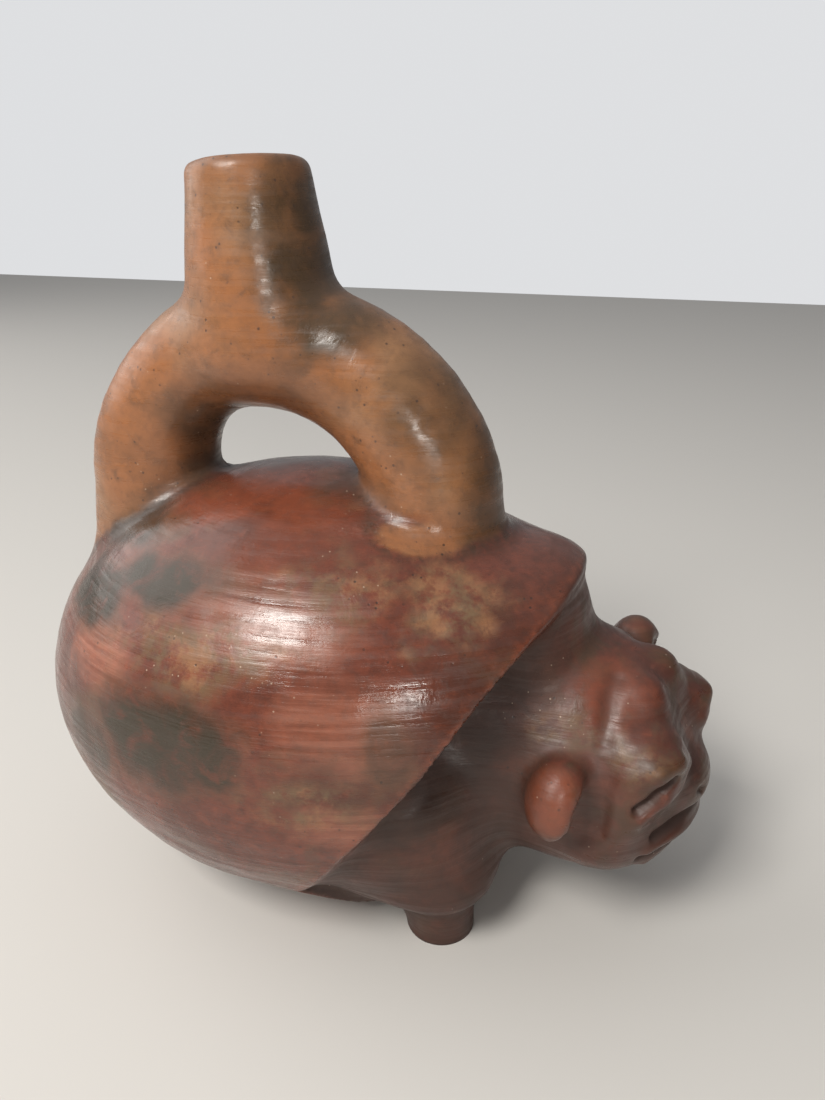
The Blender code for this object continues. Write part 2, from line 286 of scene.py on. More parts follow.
def stirrup(points):
    rise = STIRRUP_TOP[1] - STIRRUP_SHOULDER_Z
    rear, front = STIRRUP_LEGS_X
    line = [(rear - STIRRUP_SPLAY, 0.0, STIRRUP_FOOT_Z)]
    for degrees in range(180, -1, -6):
        angle = math.radians(degrees)
        reach = abs((rear if degrees > 90 else front) - STIRRUP_TOP[0])
        up = STIRRUP_SHOULDER_Z + rise * math.sin(angle)
        line.append((STIRRUP_TOP[0] + reach * math.cos(angle), 0.0, up))
    line.append((front + STIRRUP_SPLAY, 0.0, STIRRUP_FOOT_Z))
    radii = []
    for x, _, z in line:
        share = max(z - STIRRUP_SHOULDER_Z, 0.0) / rise
        slack = 7 * STIRRUP_SLACK * share**3 * (1.0 - share) if x < STIRRUP_TOP[0] else 0.0
        radii.append((STIRRUP_TUBE + (STIRRUP_CROWN - STIRRUP_TUBE) * share) / 2 - slack)
    return rope(points, line, radii)


def above_lip(points):
    slant = LIP_SLANT[0] * (points[:, 0] - SPOUT_LIP[0]) + LIP_SLANT[1] * points[:, 1]
    return points[:, 2] - SPOUT_LIP[1] - slant


def spout(points):
    share = (points[:, 2] - SPOUT_BASE[1]) / (SPOUT_LIP[1] - SPOUT_BASE[1])
    middle = SPOUT_BASE[0] + (SPOUT_LIP[0] - SPOUT_BASE[0]) * share
    radius = (SPOUT_WIDTHS[0] + (SPOUT_WIDTHS[1] - SPOUT_WIDTHS[0]) * share) / 2
    side = np.hypot(points[:, 0] - middle, points[:, 1]) - radius
    low = SPOUT_BASE[1] - SPOUT_JOIN / 2 - points[:, 2]
    return within(within(side, above_lip(points), LIP_ROUNDING), low, SPOUT_JOIN)


def foreleg(points, side):
    ankle = (FOOT[0], FOOT[1] * side, ANKLE_Z)
    sole = (FOOT[0], FOOT[1] * side, FOOT[2])
    thigh = limb(points, mirrored(SHOULDER, side), mirrored(KNEE, side), SHOULDER_RADIUS, KNEE_RADIUS)
    thigh = join(thigh, ball(points, mirrored(CUFF, side), CUFF_SIZE), FIRM_JOIN)
    return join(thigh, limb(points, ankle, sole, FOOT_RADIUS, FOOT_RADIUS), CREASE)


# The head, modelled on the end of the neck with pinched and pressed clay: two swollen brows over slit
# eyes, a broad snout with thick lips, and a hollowed ear on each side. It is turned a little to the
# animal's right, and its left ear sits higher. Places on it are from its centre, before it is turned.

HEAD = (0.0800, 0.0, 0.0510)
HEAD_SIZE = (0.0520, 0.0610, 0.0660)
HEAD_TURN = math.radians(9)
BROW = (0.0185, 0.0155, 0.0090)
BROW_SIZE = (0.0260, 0.0250, 0.0260)
FOREHEAD = (0.0165, 0.0080, 0.0225)
FOREHEAD_SIZE = (0.0130, 0.0130, 0.0150)
BROW_RIDGE = (
    (0.0180, 0.0245, 0.0110),
    (0.0240, 0.0230, 0.0135),
    (0.0268, 0.0190, 0.0138),
    (0.0290, 0.0115, 0.0100),
)
BROW_RIDGE_RADII = (0.0025, 0.0036, 0.0036, 0.0024)
CHEEK = (0.0150, 0.0235, -0.0010)
CHEEK_SIZE = (0.0180, 0.0160, 0.0200)
JOWL = (0.0110, 0.0120, -0.0125)
JOWL_SIZE = (0.0300, 0.0360, 0.0260)
MUZZLE = (0.0178, 0.0, -0.0110)
MUZZLE_SIZE = (0.0310, 0.0440, 0.0290)
NOSE = (0.0285, 0.0, -0.0010)
NOSE_SIZE = (0.0140, 0.0240, 0.0150)
LIPS = ((0.0174, -0.0170), (0.0146, -0.0245))
LIP_SIZE = (0.0260, 0.0340, 0.0080)
EAR = (0.0035, 0.0335, 0.0045)
EAR_SIZE = (0.0170, 0.0200, 0.0225)
EAR_HOLLOW = ((0.0100, 0.0340, -0.0050), (0.0114, 0.0340, 0.0030), (0.0130, 0.0325, 0.0095))
EAR_HOLLOW_RADII = (0.0072, 0.0060, 0.0032)
EAR_HOLLOW_EDGE = 0.0028
LEFT_EAR_RISE = 0.0099
LEFT_EAR_FORWARD = 0.0018


def on_head(points):
    """The points as seen from the head's centre, before it is turned."""
    offsets = points - np.array(HEAD)
    x = offsets[:, 0] * math.cos(HEAD_TURN) - offsets[:, 1] * math.sin(HEAD_TURN)
    y = offsets[:, 0] * math.sin(HEAD_TURN) + offsets[:, 1] * math.cos(HEAD_TURN)
    return np.stack([x, y, offsets[:, 2]], axis=1)


def raised(place, side):
    """The same place on the right or the left of the head, where the ear sits higher."""
    rise, forward = (LEFT_EAR_RISE, LEFT_EAR_FORWARD) if side > 0 else (0.0, 0.0)
    return (place[0] + forward, place[1] * side, place[2] + rise)


def head(points):
    swellings = ((BROW, BROW_SIZE), (FOREHEAD, FOREHEAD_SIZE), (CHEEK, CHEEK_SIZE), (JOWL, JOWL_SIZE))
    mass = ball(points, (0.0, 0.0, 0.0), HEAD_SIZE)
    mass = join(mass, ball(points, MUZZLE, MUZZLE_SIZE), SOFT_JOIN)
    for side in (-1, 1):
        for place, size in swellings:
            mass = join(mass, ball(points, mirrored(place, side), size), FIRM_JOIN)
        ridge = rope(points, [mirrored(place, side) for place in BROW_RIDGE], BROW_RIDGE_RADII)
        mass = join(mass, ridge, CREASE)
    mass = join(mass, ball(points, NOSE, NOSE_SIZE), FIRM_JOIN)
    for reach, height in LIPS:
        mass = join(mass, ball(points, (reach, 0.0, height), LIP_SIZE), CREASE)
    for side in (-1, 1):
        mass = join(mass, ball(points, raised(EAR, side), EAR_SIZE), FIRM_JOIN)
        hollow = rope(points, [raised(place, side) for place in EAR_HOLLOW], EAR_HOLLOW_RADII)
        mass = without(mass, hollow, EAR_HOLLOW_EDGE)
    return mass


def all_clay(points):
    front = join(ball(points, KEEL, KEEL_SIZE), ball(points, CHEST, CHEST_SIZE), SOFT_JOIN)
    front = join(front, limb(points, *NECK, *NECK_RADII, NECK_SQUEEZE), SOFT_JOIN)
    front = join(front, ball(points, NAPE, NAPE_SIZE), SOFT_JOIN)
    for side in (-1, 1):
        front = join(front, foreleg(points, side), SOFT_JOIN)
    mass = join(shell(points), front, SOFT_JOIN)
    mass = join(mass, head(on_head(points)), FIRM_JOIN)
    return join(mass, join(stirrup(points), spout(points), FIRM_JOIN), FIRM_JOIN)


# Finer faces where the clay bends most: the head, the rim of the shell and the lip of the spout. Then
# the skin is settled, and what lies below the floor is pressed flat as the wet clay was.

HEAD_FRONT_X = 0.0900
HEAD_BACK_X = 0.0660
HEAD_HEIGHTS = (0.020, 0.098)
HEAD_TOP_Z = 0.102
RIM_TOP_Z = 0.118
RIM_BAND = 0.0035
RIM_MIDDLE = 0.001
RIM_NEAR = 0.003
LIP_BAND = 0.0080
SETTLING_PASSES = 3
NUDGE = 0.0001
LEAST_STEEPNESS = 0.25
RESTING_Z = 0.0008
DEEP_IN_SOLE = 0.0022
SETTLING_STEP = 0.0012


def places_of(mesh):
    flat = np.empty(len(mesh.vertices) * 3, np.float32)
    mesh.vertices.foreach_get("co", flat)
    return flat.reshape(-1, 3).astype(float)


def put_back(mesh, places):
    mesh.vertices.foreach_set("co", places.astype(np.float32).ravel())
    mesh.update()


def settle(mesh, field, passes):
    """Moves the skin along the field's slope until it lies on the joined masses."""
    places = places_of(mesh)
    resting = places[:, 2] < RESTING_Z
    for _ in range(passes):
        slope = np.empty_like(places)
        for axis in range(3):
            nudge = np.zeros(3)
            nudge[axis] = NUDGE
            slope[:, axis] = (field(places + nudge) - field(places - nudge)) / (2 * NUDGE)
        steep = np.maximum((slope**2).sum(axis=1), LEAST_STEEPNESS)
        step = slope * (field(places) / steep)[:, None]
        step[resting, 2] = 0.0
        step[resting & (field(places) < -DEEP_IN_SOLE)] = 0.0
        places -= np.clip(step, -SETTLING_STEP, SETTLING_STEP)
        places[:, 2] = np.maximum(places[:, 2], 0.0)
    places[resting, 2] = 0.0
    put_back(mesh, places)


def finer_where(piece, wanted):
    choose_faces(piece, wanted)
    bpy.ops.mesh.subdivide(number_cuts=1, smoothness=0.0, ngon=False)
    bpy.ops.object.mode_set(mode="OBJECT")


def near_rim_edge(place):
    if place.z >= RIM_TOP_Z or place.x <= 0.0:
        return False
    point = np.array([place[:]])
    return abs(ahead_of_rim(point)[0] + RIM_MIDDLE) < RIM_BAND and abs(shell(point)[0]) < RIM_NEAR


def ease_head(repeats, rounds):
    """Evens out the faces of the head a little at a time and lays them back on the masses."""
    low, high = HEAD_HEIGHTS
    for _ in range(rounds):
        choose_faces(clay, lambda place: place.x > HEAD_BACK_X and low < place.z < high)
        bpy.ops.mesh.vertices_smooth(factor=0.5, repeat=repeats)
        bpy.ops.object.mode_set(mode="OBJECT")
        settle(clay.data, all_clay, 1)


take_up(clay)
ease_head(repeats=6, rounds=5)
finer_where(clay, lambda place: place.x > HEAD_BACK_X and place.z < HEAD_TOP_Z)
finer_where(clay, near_rim_edge)
finer_where(clay, lambda place: place.z > SPOUT_LIP[1] - LIP_BAND)
finer_where(clay, lambda place: place.x > HEAD_FRONT_X)
settle(clay.data, all_clay, SETTLING_PASSES)
ease_head(repeats=3, rounds=2)


# A hand-built wall is never quite even. The rubbing stone left it gently faceted, and knocks took small
# chips off the hood's edge and the stirrup. The face was finished with a pointed stick and a fingertip:
# slits for the eyes and the mouth pressed in, and small rolls of clay left standing beside them.

UNEVENNESS = ((0.030, 0.00040), (0.010, 0.00014))
DENT_EDGE = 1.3
DENTS = (
    ((0.0575, -0.0260, 0.1065), 0.0024, 0.0006),
    ((0.0580, -0.0325, 0.1010), 0.0028, 0.0005),
    ((0.0510, -0.0240, 0.1090), 0.0020, 0.0004),
    ((0.0475, -0.0380, 0.1020), 0.0022, 0.0004),
    ((0.0440, -0.0300, 0.1075), 0.0026, 0.0004),
    ((0.0400, -0.0440, 0.0960), 0.0018, 0.0004),
    ((0.0345, -0.0135, 0.1500), 0.0019, 0.0005),
    ((0.0395, -0.0125, 0.1455), 0.0023, 0.0006),
    ((0.0365, -0.0150, 0.1440), 0.0015, 0.0004),
    ((-0.0270, -0.0560, 0.0700), 0.0013, 0.0003),
    ((0.0190, -0.0165, 0.1215), 0.0018, 0.0005),
)
FACE_LINES = (
    (
        (
            (0.0100, 0.0118, 0.0300), (0.0104, 0.0168, 0.0262),
            (0.0110, 0.0206, 0.0226), (0.0117, 0.0240, 0.0189),
        ),
        0.0024,
        -0.0010,
    ),
    (
        (
            (0.0216, 0.0268, 0.0036), (0.0241, 0.0257, 0.0062),
            (0.0267, 0.0248, 0.0095), (0.0297, 0.0224, 0.0114),
        ),
        0.0012,
        -0.0026,
    ),
    (
        ((0.0236, 0.0275, 0.0008), (0.0252, 0.0258, 0.0024), (0.0278, 0.0230, 0.0054)),
        0.0021,
        0.0009,
    ),
    (
        (
            (0.0190, 0.0262, 0.0095), (0.0242, 0.0270, 0.0125),
            (0.0283, 0.0240, 0.0145), (0.0310, 0.0190, 0.0150),
        ),
        0.0028,
        0.0008,
    ),
    (
        (
            (0.0256, 0.0196, -0.0096), (0.0290, 0.0150, -0.0083),
            (0.0318, 0.0085, -0.0074), (0.0330, 0.0, -0.0070),
        ),
        0.0013,
        -0.0022,
    ),
    (
        (
            (0.0245, 0.0212, -0.0129), (0.0276, 0.0183, -0.0118),
            (0.0317, 0.0124, -0.0120), (0.0335, 0.0, -0.0120),
        ),
        0.0016,
        0.0010,
    ),
    (
        (
            (0.0235, 0.0215, -0.0165), (0.0277, 0.0162, -0.0167),
            (0.0300, 0.0110, -0.0175), (0.0310, 0.0, -0.0180),
        ),
        0.0013,
        -0.0024,
    ),
    (
        ((0.0240, 0.0170, -0.0215), (0.0270, 0.0090, -0.0225), (0.0275, 0.0, -0.0225)),
        0.0022,
        0.0010,
    ),
    (
        ((0.0350, 0.0045, -0.0022), (0.0345, 0.0065, -0.0010)),
        0.0011,
        -0.0015,
    ),
)


def pressed_line(places, line, width, height):
    """How far a line of that width and height lifts the skin, its points laid on the nearest skin."""
    laid = [places[np.argmin(lengths(places - np.array(place)))] for place in line]
    return height * np.exp(-((rope(places, laid, [0.0] * len(laid)) / width) ** 2))


def face_relief(places):
    """How far all the lines of the face together lift or sink the skin."""
    total = np.zeros(len(places))
    in_front = places[:, 0] > HEAD_BACK_X
    face = on_head(places[in_front])
    for line, width, height in FACE_LINES:
        right = pressed_line(face, [mirrored(place, -1) for place in line], width, height)
        left = pressed_line(face, line, width, height)
        total[in_front] += np.where(np.abs(right) > np.abs(left), right, left)
    return total


def cloudy(places, scale, octaves=3, shift=0.0):
    """Soft chance variation over the skin, about -1 to 1."""
    aside = Vector((shift, 0, 0))
    return np.array([fractal(Vector(place) / scale + aside, 0.9, 2.0, octaves) for place in places])


def normals_of(mesh):
    flat = np.empty(len(mesh.vertices) * 3, np.float32)
    mesh.vertices.foreach_get("normal", flat)
    return flat.reshape(-1, 3).astype(float)


skin = places_of(clay.data)
outward = normals_of(clay.data)
lift = np.zeros(len(skin))
for scale, height in UNEVENNESS:
    lift += height * cloudy(skin, scale)
for centre, radius, depth in DENTS:
    lift -= depth * np.clip(DENT_EDGE - lengths(skin - np.array(centre)) / radius, 0.0, 1.0)
lift += face_relief(skin)
lift[skin[:, 2] < RESTING_Z] = 0.0
put_back(clay.data, skin + outward * lift[:, None])


# The hollow: belly, neck, stirrup and spout are open to each other and to the lip. The chamber taken
# off at the start is drawn up past the lip, closed and cut out.

DRAWN_UP = 0.006
SHARPEST_SMOOTH = math.radians(50)

take_up(chamber)
bpy.ops.object.mode_set(mode="EDIT")
bpy.ops.mesh.select_mode(type="EDGE")
bpy.ops.mesh.select_all(action="DESELECT")
bpy.ops.mesh.select_non_manifold(extend=False)
bpy.ops.mesh.extrude_region_move(TRANSFORM_OT_translate={"value": (0.0, 0.0, DRAWN_UP)})
bpy.ops.mesh.edge_face_add()
bpy.ops.mesh.select_all(action="SELECT")
bpy.ops.mesh.normals_make_consistent(inside=False)
take_up(clay)
hollowing = clay.modifiers.new("hollowing", "BOOLEAN")
hollowing.operation = "DIFFERENCE"
hollowing.solver = "EXACT"
hollowing.object = chamber
bpy.ops.object.modifier_apply(modifier=hollowing.name)
bpy.data.objects.remove(chamber)

skin = places_of(clay.data)
skin = np.clip(skin, np.array(cad_box[0]), np.array(cad_box[1]))
put_back(clay.data, skin)
bpy.ops.object.shade_smooth_by_angle(angle=SHARPEST_SMOOTH)


# Where each colour lies. The stirrup and spout were left without slip, so they fired orange-tan. The
# rest has a thin dark red slip. Smoke in the firing left grey clouds, and handling wore other places.
# Painted shade darkens the creases and ear hollows, the front ahead of the rim, the jaw, and the sides of
# the stirrup and spout that face the head.

PAST_RIM = 0.002
FACE_FULL_X = 0.080
FACE_FADE = 0.012
JAW_TOP_Z = 0.058
JAW_FADE = 0.018
CREVICE_REACH = 0.0035
POOL_OF_BARE_CLAY = ((0.0345, -0.0120, 0.1160), (0.0310, 0.0310, 0.0100))
FIRE_CLOUDS = (
    ((-0.0470, -0.0240, 0.1120), (0.0170, 0.0120, 0.0060), 0.85),
    ((-0.0480, -0.0380, 0.0985), (0.0200, 0.0120, 0.0075), 1.0),
    ((-0.0260, -0.0430, 0.1060), (0.0170, 0.0100, 0.0060), 1.0),
    ((-0.0110, -0.0445, 0.1090), (0.0070, 0.0060, 0.0040), 0.55),
    ((-0.0430, -0.0560, 0.0640), (0.0120, 0.0140, 0.0110), 0.85),
    ((-0.0190, -0.0630, 0.0720), (0.0170, 0.0140, 0.0125), 1.0),
    ((-0.0010, -0.0665, 0.0740), (0.0090, 0.0120, 0.0090), 1.0),
    ((0.0405, -0.0570, 0.0765), (0.0055, 0.0090, 0.0095), 0.60),
    ((0.0120, -0.0100, 0.1246), (0.0085, 0.0100, 0.0060), 0.60),
    ((-0.0120, 0.0560, 0.0820), (0.0260, 0.0140, 0.0150), 0.80),
    ((-0.0640, 0.0250, 0.0700), (0.0120, 0.0180, 0.0160), 0.70),
)
# Smoke clouding on the stirrup and spout, laid on the sides that face the head and darkened as painted shade,
# since the light comes from the other side.
ARCH_SMOKE_AND_SHADE = (
    ((0.0020, -0.0070, 0.1840), (0.0100, 0.0160, 0.0260), 1.0),
    ((0.0100, -0.0070, 0.1660), (0.0110, 0.0160, 0.0080), 1.0),
    ((0.0380, -0.0100, 0.1470), (0.0110, 0.0130, 0.0150), 0.65),
    ((0.0520, -0.0050, 0.1250), (0.0060, 0.0160, 0.0200), 0.85),
    ((0.0060, -0.0120, 0.1500), (0.0110, 0.0080, 0.0060), 0.40),
    ((-0.0280, -0.0070, 0.1370), (0.0090, 0.0150, 0.0120), 0.95),
    ((-0.0330, -0.0040, 0.1250), (0.0060, 0.0120, 0.0060), 0.80),
)
WORN = (
    ((-0.0090, -0.0570, 0.0945), (0.0190, 0.0120, 0.0085), 0.75),
    ((0.0240, -0.0650, 0.0640), (0.0150, 0.0100, 0.0065), 0.70),
    ((0.0500, -0.0330, 0.1060), (0.0110, 0.0130, 0.0080), 0.85),
    ((0.0240, -0.0390, 0.1090), (0.0130, 0.0110, 0.0060), 0.60),
    ((-0.0560, -0.0480, 0.0440), (0.0150, 0.0150, 0.0080), 0.50),
    ((0.0800, -0.0270, 0.0710), (0.0100, 0.0080, 0.0050), 0.55),
    ((0.0960, -0.0280, 0.0665), (0.0060, 0.0060, 0.0035), 0.60),
    ((-0.0300, 0.0520, 0.0900), (0.0200, 0.0150, 0.0080), 0.60),
    ((0.0060, 0.0620, 0.0500), (0.0250, 0.0100, 0.0070), 0.55),
)
ROSY = (
    ((-0.0420, -0.0530, 0.0875), (0.0130, 0.0100, 0.0070), 0.90),
    ((0.0300, -0.0600, 0.0830), (0.0150, 0.0110, 0.0120), 0.70),
    ((0.0330, -0.0610, 0.0560), (0.0110, 0.0090, 0.0060), 0.80),
    ((0.0060, -0.0500, 0.1020), (0.0220, 0.0120, 0.0090), 0.60),
    ((0.0800, 0.0240, 0.0700), (0.0120, 0.0100, 0.0100), 0.50),
)
# Painted shade in the two ear hollows.
EAR_HOLLOWS_PAINTED_SHADE = (
    ((0.0845, -0.0315, 0.0535), (0.0075, 0.0065, 0.0085), 0.75),
    ((0.0940, 0.0285, 0.0620), (0.0075, 0.0065, 0.0085), 0.75),
)
BRIGHT = (
    ((-0.0120, -0.0200, 0.1215), (0.0290, 0.0140, 0.0080), 0.85),
    ((0.0030, -0.0340, 0.1150), (0.0180, 0.0120, 0.0060), 0.60),
    ((0.0765, -0.0410, 0.0620), (0.0070, 0.0070, 0.0100), 1.0),
    ((0.0870, -0.0180, 0.0800), (0.0080, 0.0090, 0.0090), 0.75),
    ((0.0950, -0.0220, 0.0560), (0.0070, 0.0070, 0.0080), 0.60),
    ((0.0480, -0.0400, 0.0330), (0.0090, 0.0070, 0.0090), 0.55),
    ((0.0750, 0.0420, 0.0660), (0.0080, 0.0070, 0.0100), 0.70),
)


def spread(places, marks, wobble):
    """How strongly each place carries a mark, from 0 to 1, with a ragged edge."""
    amount = np.zeros(len(places))
    for centre, reach, strength in marks:
        share = lengths((places - np.array(centre)) / np.array(reach))
        amount = np.maximum(amount, strength * np.clip((1.45 - share + wobble) / 0.8, 0.0, 1.0))
    return amount


def mark_skin(piece, name, amount):
    layer = piece.data.attributes.new(name, "FLOAT", "POINT")
    layer.data.foreach_set("value", np.clip(amount, 0.0, 1.0).astype(np.float32))


ragged = 0.45 * cloudy(skin, 0.012, 4, 3.0)
handle = join(stirrup(skin), spout(skin), FIRM_JOIN)
pool = ball(skin, *POOL_OF_BARE_CLAY)
past_handle = np.minimum(handle - 0.0012, pool) + 0.0016 * ragged
crevice = all_clay(skin + CREVICE_REACH * normals_of(clay.data))
mark_skin(clay, "bare_clay", 0.5 - past_handle / 0.0010)
mark_skin(clay, "joint_grime", 1.0 - np.abs(past_handle - 0.0010) / 0.0022)
mark_skin(clay, "fire_cloud", spread(skin, FIRE_CLOUDS, ragged))
mark_skin(clay, "arch_smoke_and_shade", spread(skin, ARCH_SMOKE_AND_SHADE, ragged))
mark_skin(clay, "worn", spread(skin, WORN, 1.4 * ragged))
chipped = [(place, (radius, radius, radius), 1.0) for place, radius, depth in DENTS]
mark_skin(clay, "chip", spread(skin, chipped, ragged))
mark_skin(clay, "rosy", spread(skin, ROSY, ragged))
mark_skin(clay, "bright", spread(skin, BRIGHT, ragged))
# The "crevice" mask is painted shade: the pressed slits of the face, the ear hollows and places where the skin
# bends inward are darkened.
sunk = np.clip(-face_relief(skin) / 0.0018, 0.0, 1.0)
hollows = spread(skin, EAR_HOLLOWS_PAINTED_SHADE, ragged)
mark_skin(clay, "crevice", np.maximum(np.maximum(sunk, hollows), (CREVICE_REACH - crevice) / 0.0022))
past_rim = np.clip(ahead_of_rim(skin) / PAST_RIM, 0.0, 1.0)
behind_face = np.clip((FACE_FULL_X - skin[:, 0]) / FACE_FADE, 0.0, 1.0)
# The "front" mask, ahead of the rim and behind the face, carries painted shade and also roughens the slip
# there.
mark_skin(clay, "front", past_rim * behind_face * (handle > PAST_RIM))
on_face = np.clip((skin[:, 0] - HEAD_BACK_X) / FACE_FADE, 0.0, 1.0) * (ahead_of_rim(skin) > PAST_RIM)
mark_skin(clay, "face", on_face)
# Painted shade: the face is darkened towards its bottom, under the jaw.
mark_skin(clay, "under_face_painted_shade", on_face * np.clip((JAW_TOP_Z - skin[:, 2]) / JAW_FADE, 0.0, 1.0))
from_edge = np.abs(ahead_of_rim(skin) + RIM_MIDDLE)
mark_skin(clay, "rim_edge", (1.0 - from_edge / 0.0018) * (np.abs(shell(skin)) < 0.0022))


# The fired surface. Colours are mixed in thin layers, as on the pot: slip over clay, clouding over
# slip, then wear, painted shade in the creases, ahead of the rim and under the jaw, and the fine streaks
# and pits left by the rubbing stone.

GRAINS_PER_METRE = 310.0
SLIP_DARK = (0.072, 0.023, 0.014)
SLIP_RED = (0.155, 0.043, 0.025)
SLIP_BRIGHT = (0.265, 0.072, 0.036)
SLIP_ROSY = (0.380, 0.145, 0.090)
# Painted shade: colour for the chest, neck and forelegs ahead of the rim, which lie in shade.
FRONT_PAINTED_SHADE = (0.038, 0.016, 0.010)
FACE_OLIVE = (0.075, 0.042, 0.022)
# Painted shade for the underside of the head.
JAW_PAINTED_SHADE = (0.058, 0.024, 0.015)
BARE_TAN = (0.290, 0.148, 0.072)
BARE_ORANGE = (0.330, 0.132, 0.052)
CLOUD_GREY = (0.040, 0.029, 0.017)
CLOUD_BROWN = (0.120, 0.066, 0.036)
# Smoke brown, dark enough to stand as painted shade on the stirrup and spout.
ARCH_BROWN = (0.078, 0.046, 0.024)
WEAR_OLIVE = (0.175, 0.115, 0.060)
WEAR_TAN = (0.300, 0.155, 0.075)
# Dark grit and uneven tone on the clay and slip, and also the colour of the painted shade in the creases.
GRIT_AND_CREASE_SHADE = (0.060, 0.036, 0.028)
SPECK = (0.030, 0.020, 0.016)
CHIP_TAN = (0.330, 0.150, 0.070)
PALE_SPECK = (0.620, 0.480, 0.360)

burnished = bpy.data.materials.new("burnished slip and clay")
burnished.use_nodes = True
nodes = burnished.node_tree.nodes
links = burnished.node_tree.links
surface = nodes["Principled BSDF"]
where = nodes.new("ShaderNodeTexCoord")


def attribute(name):
    node = nodes.new("ShaderNodeAttribute")
    node.attribute_name = name
    return node.outputs["Fac"]


def stretched(turn, stretch):
    node = nodes.new("ShaderNodeMapping")
    node.inputs["Rotation"].default_value = [math.radians(degrees) for degrees in turn]
    node.inputs["Scale"].default_value = stretch
    links.new(where.outputs["Object"], node.inputs["Vector"])
    return node.outputs["Vector"]


def noise(scale, detail=4.0, rough=0.55, vector=None, warp=0.0):
    node = nodes.new("ShaderNodeTexNoise")
    node.inputs["Scale"].default_value = scale
    node.inputs["Detail"].default_value = detail
    node.inputs["Roughness"].default_value = rough
    node.inputs["Distortion"].default_value = warp
    links.new(vector or where.outputs["Object"], node.inputs["Vector"])
    return node.outputs["Fac"]


def grains(scale):
    node = nodes.new("ShaderNodeTexVoronoi")
    node.inputs["Scale"].default_value = scale
    links.new(where.outputs["Object"], node.inputs["Vector"])
    return node.outputs["Distance"]


def between(value, low, high, start=0.0, end=1.0):
    node = nodes.new("ShaderNodeMapRange")
    node.interpolation_type = "SMOOTHSTEP"
    for name, number in (("From Min", low), ("From Max", high), ("To Min", start), ("To Max", end)):
        node.inputs[name].default_value = number
    links.new(value, node.inputs["Value"])
    return node.outputs["Result"]


def maths(kind, first, second):
    node = nodes.new("ShaderNodeMath")
    node.operation = kind
    for socket, value in zip(node.inputs, (first, second)):
        if isinstance(value, float):
            socket.default_value = value
        else:
            links.new(value, socket)
    return node.outputs[0]


def coat(under, over, amount):
    """Lays one colour over another by the amount given."""
    node = nodes.new("ShaderNodeMix")
    node.data_type = "RGBA"
    links.new(amount, node.inputs["Factor"])
    for socket, value in ((node.inputs["A"], under), (node.inputs["B"], over)):
        if isinstance(value, tuple):
            socket.default_value = (*value, 1.0)
        else:
            links.new(value, socket)
    return node.outputs["Result"]


broad = noise(22.0, 3.0, 0.5)
middle = noise(70.0, 5.0, 0.6, warp=0.6)
fine = noise(420.0, 4.0, 0.65)
mottle = noise(210.0, 8.0, 0.72, warp=0.4)
strokes_round = noise(85.0, 5.0, 0.6, stretched((0, 0, 0), (0.35, 0.35, 6.0)))
strokes_slant = noise(80.0, 5.0, 0.6, stretched((12, -28, 0), (0.4, 0.4, 7.0)))
stroke = maths("ADD", maths("MULTIPLY", strokes_round, 0.4), maths("MULTIPLY", strokes_slant, 0.6))

slip = coat(SLIP_DARK, SLIP_RED, between(broad, 0.30, 0.62))
slip = coat(slip, SLIP_BRIGHT, maths("MULTIPLY", between(middle, 0.52, 0.74), 0.35))
slip = coat(slip, SLIP_DARK, between(mottle, 0.46, 0.66, 0.0, 0.55))
slip = coat(slip, SLIP_BRIGHT, between(mottle, 0.34, 0.48, 0.30, 0.0))
slip = coat(slip, CLOUD_BROWN, maths("MULTIPLY", between(noise(34.0, 6.0, 0.62, warp=1.0), 0.52, 0.66), 0.55))
slip = coat(slip, SLIP_DARK, maths("MULTIPLY", between(stroke, 0.50, 0.66), 0.20))
slip = coat(slip, FACE_OLIVE, maths("MULTIPLY", attribute("face"), between(middle, 0.46, 0.60, 0.0, 0.75)))
# Painted shade under the jaw.
slip = coat(slip, JAW_PAINTED_SHADE, maths("MULTIPLY", attribute("under_face_painted_shade"), 0.65))
slip = coat(slip, SLIP_BRIGHT, maths("MULTIPLY", attribute("bright"), between(middle, 0.25, 0.6, 0.30, 0.75)))
slip = coat(slip, SLIP_ROSY, maths("MULTIPLY", attribute("rosy"), between(stroke, 0.35, 0.6, 0.3, 0.9)))
# Painted shade: the slip ahead of the rim, on the chest, neck and forelegs, is darkened.
slip = coat(slip, FRONT_PAINTED_SHADE, maths("MULTIPLY", attribute("front"), between(middle, 0.3, 0.7, 0.92, 0.55)))
worn = maths("MULTIPLY", attribute("worn"), between(noise(150.0, 6.0, 0.7), 0.38, 0.60))
slip = coat(slip, coat(WEAR_OLIVE, WEAR_TAN, between(middle, 0.5, 0.62)), worn)
slip = coat(slip, CHIP_TAN, maths("MULTIPLY", attribute("chip"), between(mottle, 0.40, 0.55, 0.25, 0.85)))
rim_wear = maths("MULTIPLY", attribute("rim_edge"), between(noise(190.0, 5.0, 0.7), 0.40, 0.62, 0.0, 0.8))
slip = coat(slip, SLIP_BRIGHT, rim_wear)
patchy = between(noise(110.0, 6.0, 0.65, warp=0.8), 0.28, 0.52, 0.35, 1.0)
cloud = maths("MULTIPLY", attribute("fire_cloud"), patchy)
slip = coat(slip, coat(CLOUD_BROWN, CLOUD_GREY, between(attribute("fire_cloud"), 0.2, 0.8)), cloud)

bare = coat(BARE_TAN, BARE_ORANGE, between(broad, 0.40, 0.60))
bare = coat(bare, CLOUD_BROWN, between(mottle, 0.50, 0.72, 0.0, 0.50))
bare = coat(bare, CLOUD_BROWN, maths("MULTIPLY", between(noise(48.0, 6.0, 0.65), 0.48, 0.72), 0.45))
